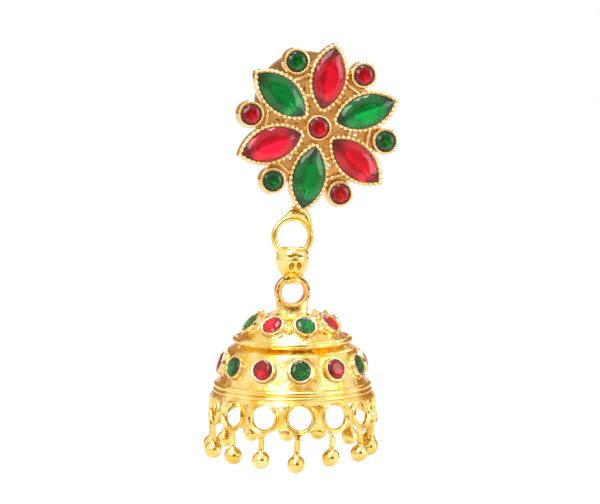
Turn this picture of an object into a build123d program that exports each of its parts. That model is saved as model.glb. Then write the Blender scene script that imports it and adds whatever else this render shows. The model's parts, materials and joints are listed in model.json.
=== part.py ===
from build123d import *
import math
import os

# Jhumka earring: a flower stud, a connector link and a two-tier bell.
# Millimetres, +Z up. The flower faces -Y and the ear post runs along +Y.
# The origin is where the post leaves the flower's back.

# Stones, all seated in bezels
ROUND_STONE_R = 1.1
CENTRE_STONE_R = 1.17
STONE_SEAT = 0.42
STONE_CROWN = 0.36
STONE_GAP = 0.04
TABLE_SHARE = 0.55
# How far a cutting shape runs past the surface that it cuts
CUT_PAST = 1.0

# Flower stud
FLOWER_Z = -2.4
PETALS = 6
FIRST_PETAL_DEG = 18.4
PETAL_MIDDLE_R = 5.7
PETAL_HALF_LENGTH = 3.5
PETAL_HALF_WIDTH = 1.78
PETAL_WALL = 0.45
PETAL_RIM = 1.65
PETAL_CROWN = 0.55
PETAL_CROWN_SLOPE_DEG = 38
FLOWER_ROUND_R = 7.9
FLOWER_BEZEL_R = 1.5
CENTRE_BEZEL_R = 1.48
FLOWER_BEZEL_RIM = 1.5
PLATE_R = 7.0
PLATE_THICK = 0.5
SEAT_DEPTH = 0.5
# Pierced holes of the plate: distance from the centre and width, in and out
PIERCINGS = ((2.2, 0.16, 2.65, 0.34), (4.25, 0.28, 4.85, 0.46))
# Bars that tie each petal to the next
BAR_MIDDLE_R = 5.95
BAR_WIDTH = 0.35
BAR_LENGTH = 2.1
BAR_RIM = 1.05

# Ear post and its push-on back
POST_R = 0.45
POST_LENGTH = 9.6
BACK_DISC_Y = 5.2
BACK_DISC_R = 6.2
BACK_DISC_THICK = 0.6
BACK_DISC_EDGE = 0.21
BACK_HUB_R = 1.5
BACK_HUB_LENGTH = 2.6
BACK_BORE_R = 0.5

# Axis that the drop hangs on
DROP_X = -2.85
DROP_Y = -0.45

# Loop under the flower
LOOP_Z = -14.8
LOOP_R = 2.1
LOOP_WIRE_R = 0.33
# Web between the loop's shoulders and the lowest petal's tip: x and z there
GUSSET_THICK = 0.56
GUSSET_SHOULDER_DEG = (28, 50, 90, 120, 142)
GUSSET_TIP_RIGHT = (-1.2, -10.9)
GUSSET_TIP_LEFT = (-2.9, -11.1)

# Connector link: radius and height above the loop's lowest wire
LINK_OUTLINE = ((1.4, 0.92), (1.85, 0.45), (1.95, -0.3), (1.8, -1.1), (1.4, -2.1))
LINK_RUNNING_GAP = 0.17
LINK_BRIDGE_HALF = 0.62
LINK_POCKET_IN = 0.47
LINK_POCKET_OUT = 1.12
LINK_POCKET_REACH = 2.4
LINK_POCKET_HEIGHT = 3.0
STRAP_WALL = 0.2
STRAP_RUNNING_GAP = 0.1
STRAP_HALF_DEG = 30

# Band ring on the bell
EYE_Z = -21.1
EYE_INNER_R = 1.35
EYE_OUTER_R = 2.0
EYE_HALF_DEPTH = 0.75
EYE_EDGE = 0.2
# Neck behind the ring: half widths and heights from the top down, and half depth
NECK_OUTLINE = ((1.9, -21.4), (1.75, -24.1))
NECK_HALF_DEPTH = 0.6

# Bell wall: radius and height of the outer face, from the top down
BELL_WALL = 0.45
CAP_WALL_OFFSET = 0.34
CAP_TOP = (1.6, -23.7)
CAP_OUTLINE = ((3.2, -23.85), (4.47, -24.78), (5.6, -25.75), (6.45, -26.45))
BAND_OUTLINE = ((6.85, -26.8), (7.35, -27.3), (7.8, -29.1), (8.2, -30.4), (8.6, -31.4))
PEDESTAL = ((2.1, -24.1), (1.85, -23.5), (1.4, -23.2))
LEDGE = (6.5, -26.45, 0.37)
RIM_UPPER = (8.65, -31.55, 0.37)
RIM_LOWER = (8.8, -32.15, 0.31)
BELL_BEZEL_R = 1.4
BELL_BEZEL_FOOT_R = 1.6
BELL_BEZEL_NECK = 0.38
BELL_BEZEL_FOOT = 0.5
CAP_COLLAR = 1.05
BAND_COLLAR = 0.8
# Rows of stones: count, radius, height, tilt up from level, first stone's turn
CAP_STONES = (8, 4.97, -24.3, 45, 6.5)
BAND_STONES = (12, 8.3, -28.95, 20, -4.6)

# Fringe strip of rings and its ball drops
RINGS = 14
FIRST_RING_DEG = -5.6
FRINGE_R = 9.25
FRINGE_TOP = -32.53
# How far the strip flares out for each millimetre down
FRINGE_FLARE = 0.1
RING_Z = -34.15
RING_HOLE_R = 1.3
RING_BORDER_R = 1.8
STRIP_HALF = 0.16
RING_BORDER_HALF = 0.26
STRIP_BOTTOM = -35.6
CORNER_HOLE_R = 0.26
CORNER_HOLE_UP = 0.95
FRINGE_CUT_REACH = 2.0
DROP_GAP = 0.05
# Foot of a drop: radius and height below the ring
DROP_FOOT = ((0.62, 0.0), (0.42, 0.5), (0.38, 0.7))
STEM_TOP = 0.5
STEM_R = 0.33
BALL_R = 1.0
BALL_DOWN = 2.78
# How each drop leans, bent by hand: degrees to its right, degrees in, and extra length
DROP_LEANS = (
    (-10, 2, 0.5),
    (-15, 5, 0.0),
    (-3, 10, 0.0),
    (-6, 14, 0.0),
    (2, 6, 0.1),
    (-2, 4, 0.1),
    (6, 1, 0.0),
    (-4, 3, 0.3),
    (2, 5, 0.0),
    (-3, 0, 0.2),
    (5, 3, 0.0),
    (-4, 1, 0.0),
    (2, 4, 0.0),
    (-6, 1, 0.1),
)


def facing(x, y, z, normal, level):
    """Plane at a point, with its local z along the normal and x level."""
    return Plane(origin=(x, y, z), x_dir=level, z_dir=normal)


def around_drop(turn_deg, radius, z, tilt_deg=0.0):
    """Plane on a circle round the drop's axis, facing out and tilted up.

    A turn of zero faces -Y, and a positive turn goes towards +X.
    """
    turn = math.radians(turn_deg)
    tilt = math.radians(tilt_deg)
    out = (math.sin(turn), -math.cos(turn))
    normal = (out[0] * math.cos(tilt), out[1] * math.cos(tilt), math.sin(tilt))
    place = (DROP_X + radius * out[0], DROP_Y + radius * out[1], z)
    return facing(*place, normal, (math.cos(turn), math.sin(turn), 0))


def on_flower(angle_deg, distance):
    """Plane on the flower's back, with local x pointing away from its centre."""
    angle = math.radians(angle_deg)
    x = distance * math.cos(angle)
    z = FLOWER_Z + distance * math.sin(angle)
    return facing(x, 0, z, (0, -1, 0), (math.cos(angle), 0, math.sin(angle)))


def turned(points):
    """Solid of revolution about local Z from a closed outline of (radius, height)."""
    outline = Plane.XZ * make_face(Polyline(*points, close=True))
    return revolve(outline, Axis.Z)


def drop_torus(ring):
    """Round wire hoop about the drop's axis, from (radius, height, wire radius)."""
    radius, z, wire = ring
    return Pos(DROP_X, DROP_Y, z) * Torus(radius, wire)


def marquise(grow):
    """Pointed oval face, its outline moved out by grow."""
    a = PETAL_HALF_LENGTH
    b = PETAL_HALF_WIDTH
    arc_r = (a * a + b * b) / (2 * b)
    half_width = b + grow
    half_length = math.sqrt((arc_r + grow) ** 2 - (arc_r - b) ** 2)
    upper = ThreePointArc((half_length, 0), (0, half_width), (-half_length, 0))
    lower = ThreePointArc((-half_length, 0), (0, -half_width), (half_length, 0))
    return make_face(upper + lower)


def round_stone(radius):
    """Round stone with its girdle's top at local zero."""
    table = radius * TABLE_SHARE
    return turned([
        (0, -STONE_SEAT),
        (radius, -STONE_SEAT),
        (radius, 0),
        (table, STONE_CROWN),
        (0, STONE_CROWN),
    ])


def petal_stone():
    """Pointed oval stone with its girdle's top at local zero."""
    foot = Pos(0, 0, -STONE_SEAT) * extrude(marquise(0), STONE_SEAT)
    return foot + extrude(marquise(0), PETAL_CROWN, taper=PETAL_CROWN_SLOPE_DEG)


def petal_places():
    return [on_flower(FIRST_PETAL_DEG + 60 * k, PETAL_MIDDLE_R) for k in range(PETALS)]


def flower_round_places():
    return [on_flower(FIRST_PETAL_DEG + 30 + 60 * k, FLOWER_ROUND_R) for k in range(PETALS)]


def row_places(row):
    count, radius, z, tilt, first = row
    return [around_drop(first + 360 / count * k, radius, z, tilt) for k in range(count)]


def fringe_radius(z):
    """Radius of the strip's middle at a height."""
    return FRINGE_R + (RING_Z - z) * FRINGE_FLARE


def ring_places(z, tilt_deg=0.0):
    radius = fringe_radius(z)
    step = 360 / RINGS
    return [around_drop(FIRST_RING_DEG + step * k, radius, z, tilt_deg) for k in range(RINGS)]


def loop_gusset():
    """Web of cast metal between the lowest petal's tip and the loop."""
    shoulder = []
    for angle in GUSSET_SHOULDER_DEG:
        x = DROP_X + LOOP_R * math.cos(math.radians(angle))
        shoulder.append((x, LOOP_Z + LOOP_R * math.sin(math.radians(angle))))
    web = make_face(Polyline(GUSSET_TIP_RIGHT, *shoulder, GUSSET_TIP_LEFT, close=True))
    place = facing(0, DROP_Y + GUSSET_THICK / 2, 0, (0, -1, 0), (1, 0, 0))
    return place * extrude(web, GUSSET_THICK)


def flower_frame():
    """Cast flower: pierced plate, bezels, ear post and the loop below."""
    seat = PETAL_RIM - SEAT_DEPTH
    frame = on_flower(0, 0) * extrude(Circle(PLATE_R), PLATE_THICK)
    for k in range(PETALS):
        for near, near_width, far, far_width in PIERCINGS:
            hole = make_face(Polyline(
                (near, near_width / 2),
                (near, -near_width / 2),
                (far, -far_width / 2),
                (far, far_width / 2),
                close=True,
            ))
            place = on_flower(FIRST_PETAL_DEG + 30 + 60 * k, 0)
            frame -= place * Pos(0, 0, -CUT_PAST) * extrude(hole, PLATE_THICK + 2 * CUT_PAST)
        bar_place = on_flower(FIRST_PETAL_DEG + 30 + 60 * k, BAR_MIDDLE_R)
        frame += bar_place * extrude(Rectangle(BAR_WIDTH, BAR_LENGTH), BAR_RIM)
    for place in petal_places():
        frame += place * extrude(marquise(PETAL_WALL), PETAL_RIM)
    rounds = [(place, FLOWER_BEZEL_R, ROUND_STONE_R) for place in flower_round_places()]
    rounds.append((on_flower(0, 0), CENTRE_BEZEL_R, CENTRE_STONE_R))
    for place, outer, _ in rounds:
        frame += place * extrude(Circle(outer), FLOWER_BEZEL_RIM)
    for place in petal_places():
        frame -= place * Pos(0, 0, seat) * extrude(marquise(STONE_GAP), SEAT_DEPTH + CUT_PAST)
    for place, _, stone_r in rounds:
        recess = extrude(Circle(stone_r + STONE_GAP), SEAT_DEPTH + CUT_PAST)
        frame -= place * Pos(0, 0, FLOWER_BEZEL_RIM - SEAT_DEPTH) * recess
    post = extrude(Circle(POST_R), POST_LENGTH + PLATE_THICK / 2)
    frame += facing(0, -PLATE_THICK / 2, 0, (0, 1, 0), (1, 0, 0)) * post
    loop = facing(DROP_X, DROP_Y, LOOP_Z, (0, -1, 0), (1, 0, 0)) * Torus(LOOP_R, LOOP_WIRE_R)
    return frame + loop_gusset() + loop


def ear_back():
    """Push-on comfort disc with its hub, bored for the post."""
    place = facing(0, BACK_DISC_Y, 0, (0, 1, 0), (1, 0, 0))
    length = BACK_DISC_THICK + BACK_HUB_LENGTH
    back = extrude(Circle(BACK_DISC_R), BACK_DISC_THICK)
    back = fillet(back.edges(), BACK_DISC_EDGE)
    back += extrude(Circle(BACK_HUB_R), length)
    back -= Pos(0, 0, -CUT_PAST) * extrude(Circle(BACK_BORE_R), length + 2 * CUT_PAST)
    return place * back


def eye_band(inner, outer, half_depth):
    """Solid band ring about the bell's eye, its axis along Y."""
    place = facing(DROP_X, DROP_Y + half_depth, EYE_Z, (0, -1, 0), (1, 0, 0))
    return place * extrude(Circle(outer) - Circle(inner), 2 * half_depth)


def connector_link():
    """Bucket-shaped link: open for the loop at the top, a strap round the eye below."""
    hinge_z = LOOP_Z - LOOP_R
    top = LINK_OUTLINE[0][1]
    barrel = turned([(0, top), *LINK_OUTLINE, (0, LINK_OUTLINE[-1][1])])
    link = Pos(DROP_X, DROP_Y, hinge_z) * barrel
    gap = STRAP_RUNNING_GAP
    wall = gap + STRAP_WALL
    strap = eye_band(EYE_INNER_R - wall, EYE_OUTER_R + wall, EYE_HALF_DEPTH + wall)
    reach = EYE_OUTER_R * 2
    spread = reach * math.tan(math.radians(STRAP_HALF_DEG))
    sector = make_face(Polyline((0, 0), (spread, reach), (-spread, reach), close=True))
    front = facing(DROP_X, DROP_Y + reach, EYE_Z, (0, -1, 0), (1, 0, 0))
    link += strap & (front * extrude(sector, 2 * reach))
    link -= eye_band(EYE_INNER_R - gap, EYE_OUTER_R + gap, EYE_HALF_DEPTH + gap)
    loop = facing(DROP_X, DROP_Y, LOOP_Z, (0, -1, 0), (1, 0, 0))
    link -= loop * Torus(LOOP_R, LOOP_WIRE_R + LINK_RUNNING_GAP)
    floor_z = hinge_z - LOOP_WIRE_R - LINK_RUNNING_GAP
    for side in (-1, 1):
        pocket = make_face(Polyline(
            (side * LINK_BRIDGE_HALF, LINK_POCKET_IN),
            (side * LINK_POCKET_REACH, LINK_POCKET_OUT),
            (side * LINK_POCKET_REACH, -LINK_POCKET_OUT),
            (side * LINK_BRIDGE_HALF, -LINK_POCKET_IN),
            close=True,
        ))
        link -= Pos(DROP_X, DROP_Y, floor_z) * extrude(pocket, LINK_POCKET_HEIGHT)
    return link


def eye_neck():
    """Block behind the ring that joins it to the top of the bell."""
    (top_half, top), (foot_half, foot) = NECK_OUTLINE
    front = make_face(Polyline(
        (DROP_X - top_half, top),
        (DROP_X + top_half, top),
        (DROP_X + foot_half, foot),
        (DROP_X - foot_half, foot),
        close=True,
    ))
    place = facing(0, DROP_Y + NECK_HALF_DEPTH, 0, (0, -1, 0), (1, 0, 0))
    bore = Pos(DROP_X, EYE_Z) * Circle(EYE_INNER_R)
    return place * extrude(front - bore, 2 * NECK_HALF_DEPTH)


def bell_wall():
    """Thin wall of the cap and the band, with its hoops."""
    outer = list(CAP_OUTLINE + BAND_OUTLINE)
    inner = [(r - BELL_WALL, z) for r, z in reversed(BAND_OUTLINE)]
    inner += [(r - CAP_WALL_OFFSET, z - CAP_WALL_OFFSET) for r, z in reversed(CAP_OUTLINE)]
    top = CAP_TOP[1]
    shell = turned([(0, top), CAP_TOP, *outer, *inner, (0, top - BELL_WALL)])
    shell = Pos(DROP_X, DROP_Y, 0) * shell
    for hoop in (LEDGE, RIM_UPPER, RIM_LOWER):
        shell += drop_torus(hoop)
    return shell


def bell_bezel(depth):
    """Raised collar with its rim at local zero, flared at the foot."""
    return turned([
        (0, 0),
        (BELL_BEZEL_R, 0),
        (BELL_BEZEL_R, -BELL_BEZEL_NECK),
        (BELL_BEZEL_FOOT_R, -BELL_BEZEL_FOOT),
        (BELL_BEZEL_FOOT_R, -depth),
        (0, -depth),
    ])


def bell_dome():
    """Bell with its hoops, collars, pedestal, neck and the eye on top."""
    bell = bell_wall()
    foot = PEDESTAL[0][1]
    bell += Pos(DROP_X, DROP_Y, 0) * turned([(0, foot), *PEDESTAL, (0, PEDESTAL[-1][1])])
    eye = eye_band(EYE_INNER_R, EYE_OUTER_R, EYE_HALF_DEPTH)
    eye = fillet(eye.edges(), EYE_EDGE)
    bell += eye + eye_neck()
    collars = [(place, CAP_COLLAR) for place in row_places(CAP_STONES)]
    collars += [(place, BAND_COLLAR) for place in row_places(BAND_STONES)]
    for place, depth in collars:
        bell += place * bell_bezel(depth)
    for place, _ in collars:
        recess = extrude(Circle(ROUND_STONE_R + STONE_GAP), SEAT_DEPTH + CUT_PAST)
        bell -= place * Pos(0, 0, -SEAT_DEPTH) * recess
    return bell


def fringe():
    """Strip of joined rings under the rim."""
    def tube(half, top, bottom):
        upper, lower = fringe_radius(top), fringe_radius(bottom)
        wall = turned([
            (upper - half, top),
            (upper + half, top),
            (lower + half, bottom),
            (lower - half, bottom),
        ])
        return Pos(DROP_X, DROP_Y, 0) * wall

    strip = tube(STRIP_HALF, FRINGE_TOP, STRIP_BOTTOM)
    reach = FRINGE_CUT_REACH
    borders = tube(RING_BORDER_HALF, FRINGE_TOP, RING_Z - 2 * RING_BORDER_R)
    studs = None
    tilt = math.degrees(math.atan(FRINGE_FLARE))
    for place in ring_places(RING_Z, tilt):
        stud = place * Pos(0, 0, -reach) * extrude(Circle(RING_BORDER_R), 2 * reach)
        studs = stud if studs is None else studs + stud
    strip += borders & studs
    step = 360 / RINGS
    corner_z = RING_Z + CORNER_HOLE_UP
    for k, place in enumerate(ring_places(RING_Z, tilt)):
        strip -= place * Pos(0, 0, -reach) * extrude(Circle(RING_HOLE_R), 2 * reach)
        between = around_drop(FIRST_RING_DEG + step * (k + 0.5), FRINGE_R, corner_z)
        corner = extrude(RegularPolygon(CORNER_HOLE_R, 3, rotation=-90), 2 * reach)
        strip -= between * Pos(0, 0, -reach) * corner
    return strip


def ball_drop(place, right_deg, in_deg, longer):
    """Flared foot under a ring, with a stem and a ball that lean from it."""
    foot = turned([(0, 0), *[(r, -down) for r, down in DROP_FOOT], (0, -DROP_FOOT[-1][1])])
    top = place.origin
    out = place.z_dir
    right = place.x_dir
    down = Vector(0, 0, -1)
    down += right * math.tan(math.radians(right_deg))
    down -= out * math.tan(math.radians(in_deg))
    start = top + Vector(0, 0, -STEM_TOP)
    length = BALL_DOWN + longer - STEM_TOP
    stem = Plane(origin=start, x_dir=right, z_dir=down) * extrude(Circle(STEM_R), length)
    ball = start + down.normalized() * length
    return Pos(*top) * foot + stem + Pos(*ball) * Sphere(BALL_R)


def ball_drops():
    places = ring_places(RING_Z - RING_BORDER_R - DROP_GAP)
    return [ball_drop(place, *lean) for place, lean in zip(places, DROP_LEANS)]


def pieces():
    """Every node's name and solid."""
    made = {
        "flower_frame": flower_frame(),
        "ear_back": ear_back(),
        "connector_link": connector_link(),
        "bell_dome": bell_dome(),
        "fringe": fringe(),
    }
    petal_lift = Pos(0, 0, PETAL_RIM)
    round_lift = Pos(0, 0, FLOWER_BEZEL_RIM)
    made["centre_stone"] = on_flower(0, 0) * round_lift * round_stone(CENTRE_STONE_R)
    for k, place in enumerate(petal_places(), 1):
        made[f"petal_stone_{k}"] = place * petal_lift * petal_stone()
    for k, place in enumerate(flower_round_places(), 1):
        made[f"round_stone_{k}"] = place * round_lift * round_stone(ROUND_STONE_R)
    for k, place in enumerate(row_places(CAP_STONES), 1):
        made[f"cap_stone_{k}"] = place * round_stone(ROUND_STONE_R)
    for k, place in enumerate(row_places(BAND_STONES), 1):
        made[f"band_stone_{k:02d}"] = place * round_stone(ROUND_STONE_R)
    for k, drop in enumerate(ball_drops(), 1):
        made[f"ball_drop_{k:02d}"] = drop
    return made


os.makedirs("parts", exist_ok=True)
for name, solid in pieces().items():
    export_step(solid, f"parts/{name}.step")
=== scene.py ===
import json
import math

import bmesh
import bpy
from mathutils import Matrix, Vector


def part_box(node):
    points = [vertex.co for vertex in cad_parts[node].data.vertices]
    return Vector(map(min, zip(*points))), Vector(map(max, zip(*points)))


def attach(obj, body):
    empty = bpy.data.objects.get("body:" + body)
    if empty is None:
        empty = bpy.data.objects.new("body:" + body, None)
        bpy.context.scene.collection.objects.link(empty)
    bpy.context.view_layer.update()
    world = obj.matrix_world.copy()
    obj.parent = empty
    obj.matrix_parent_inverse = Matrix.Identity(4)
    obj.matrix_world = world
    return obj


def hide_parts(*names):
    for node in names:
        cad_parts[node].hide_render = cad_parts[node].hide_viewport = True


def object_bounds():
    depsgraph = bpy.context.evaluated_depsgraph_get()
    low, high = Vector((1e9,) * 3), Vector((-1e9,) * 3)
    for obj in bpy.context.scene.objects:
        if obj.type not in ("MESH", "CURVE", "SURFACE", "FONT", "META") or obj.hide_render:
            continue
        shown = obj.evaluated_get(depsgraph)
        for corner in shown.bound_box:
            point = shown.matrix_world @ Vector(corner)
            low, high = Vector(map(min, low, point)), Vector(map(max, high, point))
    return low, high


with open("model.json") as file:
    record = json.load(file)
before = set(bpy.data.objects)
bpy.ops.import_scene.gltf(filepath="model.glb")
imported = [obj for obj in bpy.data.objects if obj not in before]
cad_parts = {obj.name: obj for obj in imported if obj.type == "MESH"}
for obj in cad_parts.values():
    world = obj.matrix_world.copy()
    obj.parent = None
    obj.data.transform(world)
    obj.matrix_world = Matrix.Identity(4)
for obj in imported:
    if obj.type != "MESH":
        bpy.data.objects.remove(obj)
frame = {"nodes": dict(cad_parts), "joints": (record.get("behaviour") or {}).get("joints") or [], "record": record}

bl_info = {
    "name": "Jhumka earring",
    "version": (1, 0, 0),
    "blender": (4, 5, 0),
    "location": "3D View > Sidebar > Jhumka",
    "description": "Builds the looks of a jhumka earring round its solid model",
    "category": "Object",
}

CAD_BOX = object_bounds()
MM = 0.001
TURN = 2 * math.pi
WHITE = (1, 1, 1, 1)

JOINTS = {joint["name"]: joint for joint in frame["joints"]}
LOOP_LOW = Vector(JOINTS["link_swing"]["pos_m"]) / MM
EYE = Vector(JOINTS["bell_swing"]["pos_m"]) / MM

BELL_AXIS = Matrix.Translation((EYE.x, EYE.y, 0))

# Millimetres that several pieces share. The first three are the bell's eye.
EYE_INNER = 1.35
EYE_OUTER = 2.0
EYE_HALF_DEPTH = 0.75
STONE_SEAT = 0.42  # from a stone's flat back up to its girdle
BACK_STEP = 0.015  # keeps backs that lie over one another apart
AXIS_SLACK = 0.001  # radius of the circle that the bell's wall is turned on
RING_DROP = 1.62  # from the fringe node's top down to its rings' middles
FRINGE_TOP = RING_DROP + 0.2  # over the rings' middles, up behind the rim
TUCK_FROM = 1.3  # over the rings' middles, where the fringe starts to tuck in
STRAP_TOP = 2.05  # from the loop's lowest point down to the link's strap

# Degrees round the object and metres of the stage.
OPENING_TURN_DEG = 6
CAMERA_TURN_DEG = -11.5
CAMERA_DISTANCE = 0.265
CAMERA_HEIGHT = 0.0098


def linear(code):
    """Linear red, green and blue of an sRGB hex colour."""
    shares = [int(code[k:k + 2], 16) / 255 for k in (1, 3, 5)]
    return tuple(s / 12.92 if s <= 0.04045 else ((s + 0.055) / 1.055) ** 2.4 for s in shares)


# ---------------------------------------------------------------- settings


def length(name, mm, description):
    """Length property, given in millimetres and held in metres."""
    return bpy.props.FloatProperty(
        name=name, description=description, default=mm * MM, min=0,
        unit="LENGTH", subtype="DISTANCE", precision=5,
    )


def colour(name, code, description):
    """Colour property with an sRGB hex default."""
    return bpy.props.FloatVectorProperty(
        name=name, description=description, default=linear(code),
        size=3, min=0, max=1, subtype="COLOR",
    )


class JhumkaFlower(bpy.types.PropertyGroup):
    petal_half_length: length("Petal half length", 3.5, "Half the length of a pointed stone")
    petal_half_width: length("Petal half width", 1.78, "Half the width of a pointed stone")
    petal_wall: length("Petal wall", 0.45, "Thickness of a pointed bezel's wall")
    petal_rim: length("Petal rim", 1.65, "Height of a pointed bezel above the flower's back")
    stone_r: length("Round stone radius", 1.1, "Radius of a small round stone")
    centre_stone_r: length("Centre stone radius", 1.17, "Radius of the flower's middle stone")
    round_wall_r: length("Round bezel radius", 1.5, "Outer radius of a small round bezel")
    centre_wall_r: length("Centre bezel radius", 1.48, "Outer radius of the middle bezel")
    round_rim: length("Round rim", 1.5, "Height of a round bezel above the flower's back")
    plate_r: length("Plate radius", 7.0, "Radius of the pierced plate")
    plate_thick: length("Plate thickness", 0.5, "Thickness of the pierced plate")
    bead_r: length("Milgrain bead radius", 0.26, "Radius of a bead on a pointed bezel's rim")
    bead_pitch: length("Milgrain pitch", 0.6, "Distance between those beads")
    fine_bead_r: length("Fine bead radius", 0.11, "Radius of a bead on a round bezel's rim")
    fine_bead_pitch: length("Fine bead pitch", 0.3, "Distance between the fine beads")
    loop_r: length("Loop radius", 2.1, "Radius of the loop at the middle of its wire")
    loop_wire: length("Loop wire radius", 0.33, "Radius of the loop's wire")


class JhumkaBell(bpy.types.PropertyGroup):
    wall: length("Wall", 0.45, "Thickness of the bell's wall")
    collar_r: length("Collar radius", 1.4, "Outer radius of a stone's collar")
    hole_r: length("Ring hole radius", 1.3, "Radius of a fringe ring's hole")
    ring_r: length("Ring radius", 1.8, "Outer radius of a fringe ring")
    fringe_r: length("Fringe radius", 9.25, "Radius of the fringe round the bell's axis")
    flare: bpy.props.FloatProperty(
        name="Flare", description="How far the fringe flares out for its height", default=0.1, min=0,
    )
    rings: bpy.props.IntProperty(name="Rings", description="Rings in the fringe", default=14, min=3)
    ball_r: length("Ball radius", 1.0, "Radius of a drop's ball")


class JhumkaColours(bpy.types.PropertyGroup):
    gold: colour("Gold", "#F9E49A", "Gold plate")
    gold_deep: colour("Deep gold", "#ECC35C", "Gold plate where it lies thicker")
    pale: colour("Pale gold", "#F7E0B0", "Thinner plate on the bezels and the beads")
    pale_deep: colour("Deep pale gold", "#EBC283", "Bezels' plate where it lies thicker")
    # Painted shade: a darker, oranger gold for the recessed pierced ground between the bezels and for the eye's
    # proud ring.
    shadow: colour("Shadow gold", "#F2B868", "Darkened plate of the pierced ground and the eye")
    cast_deep: colour("Deep cast gold", "#E9B946", "Cast pieces' plate where it lies thicker")
    # Painted shade: a dark brown put in grooves, dents and creases where shade falls.
    tarnish: colour("Tarnish", "#96702C", "Tarnish left in grooves, marks and creases")
    # Painted shade: the ear back is given a dull warm grey for the shade it lies in behind the flower.
    back: colour("Ear back", "#B09068", "Dulled plate of the ear back")
    red: colour("Red glass", "#DC142C", "Red glass stones")
    green: colour("Green glass", "#088035", "Green glass stones")
    foil: colour("Foil", "#FFFFFF", "Foil behind the petals' stones")
    dull_foil: colour("Dull foil", "#D2C6A8", "Tarnished foil behind the round stones")
    cap_foil: colour("Cap foil", "#F2ECDC", "Foil behind the stones of the cap")
    floor: colour("Floor", "#D8D6D0", "Floor and backdrop")


def sizes_of(group):
    """Sizes of a property group in millimetres, counts as they are."""
    held = {}
    for key in group.__annotations__:
        value = getattr(group, key)
        held[key] = value / MM if group.bl_rna.properties[key].unit == "LENGTH" else value
    return type("Sizes", (), held)


def flower_sizes():
    return sizes_of(bpy.context.scene.jhumka_flower)


def bell_sizes():
    return sizes_of(bpy.context.scene.jhumka_bell)


# ------------------------------------------------------------------ shapes


class Shape:
    """Vertices in millimetres and faces, gathered part by part."""

    def __init__(self):
        self.verts = []
        self.faces = []
        self.tags = []

    def add(self, part, place=None, tag=0):
        verts, faces = part
        start = len(self.verts)
        matrix = place or Matrix()
        self.verts += [matrix @ Vector(v) for v in verts]
        self.faces += [tuple(start + k for k in face) for face in faces]
        self.tags += [tag] * len(faces)
        return self

    def mesh(self, materials, smooth_deg=40):
        mesh = bpy.data.meshes.new("part")
        mesh.from_pydata([v * MM for v in self.verts], [], self.faces)
        for own in materials:
            mesh.materials.append(material_for(own))
        mesh.polygons.foreach_set("material_index", self.tags)
        outward(mesh)
        shade(mesh, smooth_deg)
        return mesh


def outward(mesh):
    """Turns every closed shell's faces outwards."""
    work = bmesh.new()
    work.from_mesh(mesh)
    bmesh.ops.recalc_face_normals(work, faces=work.faces)
    work.to_mesh(mesh)
    work.free()


def shade(mesh, smooth_deg):
    """Smooth shading with edges kept sharp past an angle, or flat at zero."""
    if smooth_deg:
        mesh.shade_smooth()
        mesh.set_sharp_from_angle(angle=math.radians(smooth_deg))
    else:
        mesh.shade_flat()


def skin(loops, closed=False):
    """Skin over loops of equal length, capped at both ends unless it closes on itself."""
    count = len(loops[0])
    rows = len(loops)
    verts = [point for loop in loops for point in loop]
    faces = []
    for row in range(rows if closed else rows - 1):
        lower, upper = row * count, (row + 1) % rows * count
        for k in range(count):
            n = (k + 1) % count
            faces.append((lower + k, lower + n, upper + n, upper + k))
    if not closed:
        faces.append(tuple(range(count))[::-1])
        faces.append(tuple(range(len(verts) - count, len(verts))))
    return verts, faces


def circle(radius, steps, first=0):
    """Points round a circle, the first a share of a step past the x axis."""
    turns = [TURN * (k + first) / steps for k in range(steps)]
    return [(radius * math.cos(a), radius * math.sin(a)) for a in turns]


def lathe(profile, steps, closed=False):
    """Surface of revolution about Z from (radius, height) points, its poles closed."""
    verts, rows = [], []
    for radius, height in profile:
        if radius < 1e-6:
            rows.append([len(verts)] * steps)
            verts.append((0, 0, height))
            continue
        rows.append(list(range(len(verts), len(verts) + steps)))
        verts += [(x, y, height) for x, y in circle(radius, steps)]
    faces = []
    following = rows[1:] + rows[:1] if closed else rows[1:]
    for lower, upper in zip(rows, following):
        for k in range(steps):
            n = (k + 1) % steps
            corners = dict.fromkeys((lower[k], lower[n], upper[n], upper[k]))
            if len(corners) > 2:
                faces.append(tuple(corners))
    return verts, faces


def hoop(radius, height, wire, steps=128):
    """Round wire hoop about Z."""
    return lathe([(radius + x, height + y) for x, y in circle(wire, 16)], steps, closed=True)


def rounded(points, share, rounds, closed=False):
    """Outline with its corners cut off by a share, round after round; an open one keeps its ends."""
    for _ in range(rounds):
        following = points[1:] + points[:1] if closed else points[1:]
        cut = [] if closed else [points[0]]
        for a, b in zip(points, following):
            cut.append(tuple(p + (q - p) * share / 2 for p, q in zip(a, b)))
            cut.append(tuple(q + (p - q) * share / 2 for p, q in zip(a, b)))
        points = cut if closed else cut + [points[-1]]
    return points


def mirrored(side):
    """Outline closed by its own mirror image across the first axis."""
    return side + [(x, -y) for x, y in reversed(side)]


def capsule(start, end, radius):
    """Straight rod with half-ball ends."""
    rings = 4
    long = end - start
    turn = long.to_track_quat("Z", "Y")
    turns = [math.pi / 2 * (k + 0.25) / rings for k in range(rings)]
    rows = [(radius * math.sin(a), -radius * math.cos(a)) for a in turns]
    rows += [(r, long.length - z) for r, z in reversed(rows)]
    return skin([[start + turn @ Vector((x, y, z)) for x, y in circle(r, 12)] for r, z in rows])


def ball(radii, steps=24, rings=12):
    """Ball or egg with the given half sizes."""
    turns = [math.pi * k / rings for k in range(1, rings)]
    profile = [(0, -1), *[(math.sin(a), -math.cos(a)) for a in turns], (0, 1)]
    verts, faces = lathe(profile, steps)
    return [tuple(c * r for c, r in zip(v, radii)) for v in verts], faces


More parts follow.
